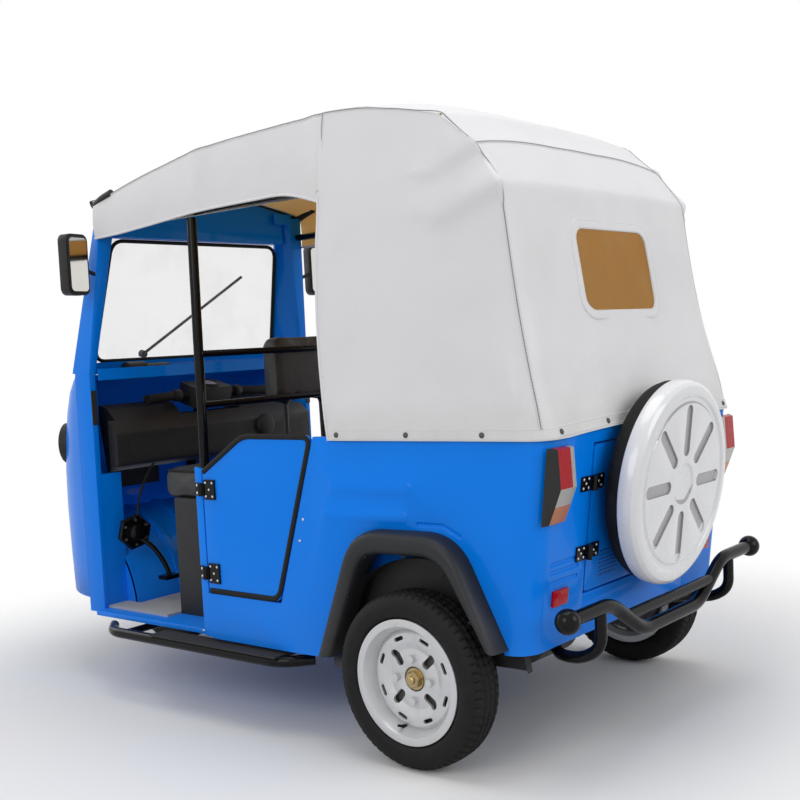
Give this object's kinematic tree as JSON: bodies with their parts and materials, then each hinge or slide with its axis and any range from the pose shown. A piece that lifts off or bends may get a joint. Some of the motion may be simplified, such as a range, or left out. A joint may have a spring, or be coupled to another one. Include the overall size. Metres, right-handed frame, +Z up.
{
  "type": "auto rickshaw",
  "caption": "Auto rickshaw with a steel tub, canvas top, half doors, raked front fork, and a tailgate carrying a covered spare wheel.",
  "frame": {"origin": "on the ground under the middle of the overall length and width", "axes": "+X forward, +Y to the driver's left, +Z up"},
  "size_m": [2.5472, 1.3116, 1.8675],
  "materials": {
    "body_paint": "gloss azure paint",
    "black_paint": "gloss black paint",
    "black_plastic": "moulded plastic",
    "flare_plastic": "grained plastic",
    "mat": "speckled mat",
    "vinyl": "vinyl",
    "canvas": "coated canvas",
    "glass": "clear",
    "lamp_lens": "clear red",
    "lamp_clear": "clear",
    "cast_metal": "as cast",
    "tyre": "rubber",
    "wheel_paint": "silver paint",
    "cover_white": "gloss white"
  },
  "bodies": {
    "body": {"chassis": "black_paint", "floor": "body_paint", "floor_mat": "mat", "nose_shell": "body_paint", "wheelhouse": "body_paint", "screen_frame": "body_paint", "windscreen": "glass", "wiper": "black_paint", "dashboard": "black_plastic", "side_panel_left": "body_paint", "side_panel_right": "body_paint", "rear_panel": "body_paint", "rear_deck": "body_paint", "arch_flares": "flare_plastic", "step_bars": "black_paint", "bumper": "black_paint", "tail_lamps": "lamp_lens", "reflectors": "lamp_lens", "headlamps": "lamp_clear", "mirrors": "black_plastic", "driver_seat_box": "vinyl", "driver_cushion": "vinyl", "driver_backrest": "vinyl", "passenger_cushion": "vinyl", "passenger_backrest": "vinyl", "partition": "black_paint", "canopy_roof": "canvas", "canopy_left": "canvas", "canopy_right": "canvas", "canopy_strip_left": "canvas", "canopy_strip_right": "canvas", "canopy_rear": "canvas", "canopy_frame": "black_paint", "rear_window": "glass", "engine": "cast_metal", "rear_axle": "cast_metal", "hinge_leaves": "black_paint"},
    "steering": {"fork": "black_paint", "handlebar": "black_plastic", "front_mudguard": "body_paint"},
    "front_wheel": {"front_tyre": "tyre", "front_rim": "wheel_paint"},
    "rear_left_wheel": {"rear_left_tyre": "tyre", "rear_left_rim": "wheel_paint"},
    "rear_right_wheel": {"rear_right_tyre": "tyre", "rear_right_rim": "wheel_paint"},
    "left_door": {"door_left": "body_paint"},
    "right_door": {"door_right": "body_paint"},
    "rear_gate": {"tailgate": "body_paint", "spare_tyre": "tyre", "spare_cover": "cover_white"}
  },
  "joints": [
    {"name": "steering_turn", "type": "hinge", "parent": "body", "child": "steering", "pos_m": [1.00542, 0, 0.24], "axis": [-0.2924, 0, 0.9563], "range_deg": [-35, 35]},
    {"name": "front_wheel_spin", "type": "hinge", "parent": "steering", "child": "front_wheel", "pos_m": [1.00542, 0, 0.24], "axis": [0, 1, 0], "continuous": true},
    {"name": "rear_left_wheel_spin", "type": "hinge", "parent": "body", "child": "rear_left_wheel", "pos_m": [-0.72458, 0.596, 0.24], "axis": [0, 1, 0], "continuous": true},
    {"name": "rear_right_wheel_spin", "type": "hinge", "parent": "body", "child": "rear_right_wheel", "pos_m": [-0.72458, -0.596, 0.24], "axis": [0, 1, 0], "continuous": true},
    {"name": "left_door_swing", "type": "hinge", "parent": "body", "child": "left_door", "pos_m": [0.09342, 0.615, 0.6], "axis": [0, 0, -1], "range_deg": [0, 80]},
    {"name": "right_door_swing", "type": "hinge", "parent": "body", "child": "right_door", "pos_m": [0.09342, -0.615, 0.6], "axis": [0, 0, 1], "range_deg": [0, 80]},
    {"name": "rear_gate_swing", "type": "hinge", "parent": "body", "child": "rear_gate", "pos_m": [-1.08437, 0.303, 0.44661], "axis": [0.1392, 0, -0.9903], "range_deg": [0, 65]}
  ]
}
